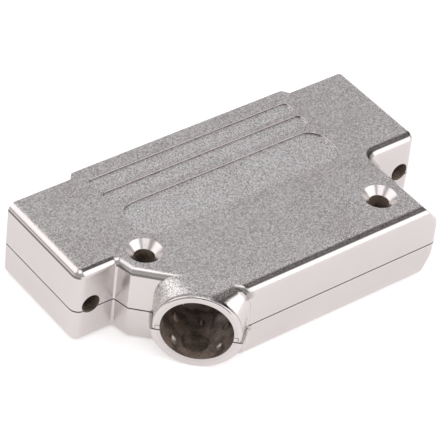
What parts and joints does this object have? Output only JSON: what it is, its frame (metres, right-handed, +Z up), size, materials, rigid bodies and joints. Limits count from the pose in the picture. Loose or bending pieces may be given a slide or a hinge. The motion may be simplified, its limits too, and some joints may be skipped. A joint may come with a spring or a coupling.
{
  "type": "d-sub hood",
  "caption": "Two-part die-cast metal hood for a D-sub cable connector, with a round cable exit at 45 degrees and through holes for jackscrews.",
  "frame": {"origin": "middle of the bounding box in X and Y, at the height of the flat underside", "axes": "+X along the connector from the cable-exit end to the other end, +Y out of the connector mouth, +Z up out of the slotted top"},
  "size_m": [0.0694, 0.04, 0.0147],
  "materials": {
    "upper_shell": "satin nickel plating on die-cast zinc, spark-textured top, smooth sides",
    "lower_shell": "satin nickel plating on die-cast zinc, smooth"
  },
  "bodies": {
    "root": {"upper_shell": "upper_shell", "lower_shell": "lower_shell"}
  },
  "joints": []
}
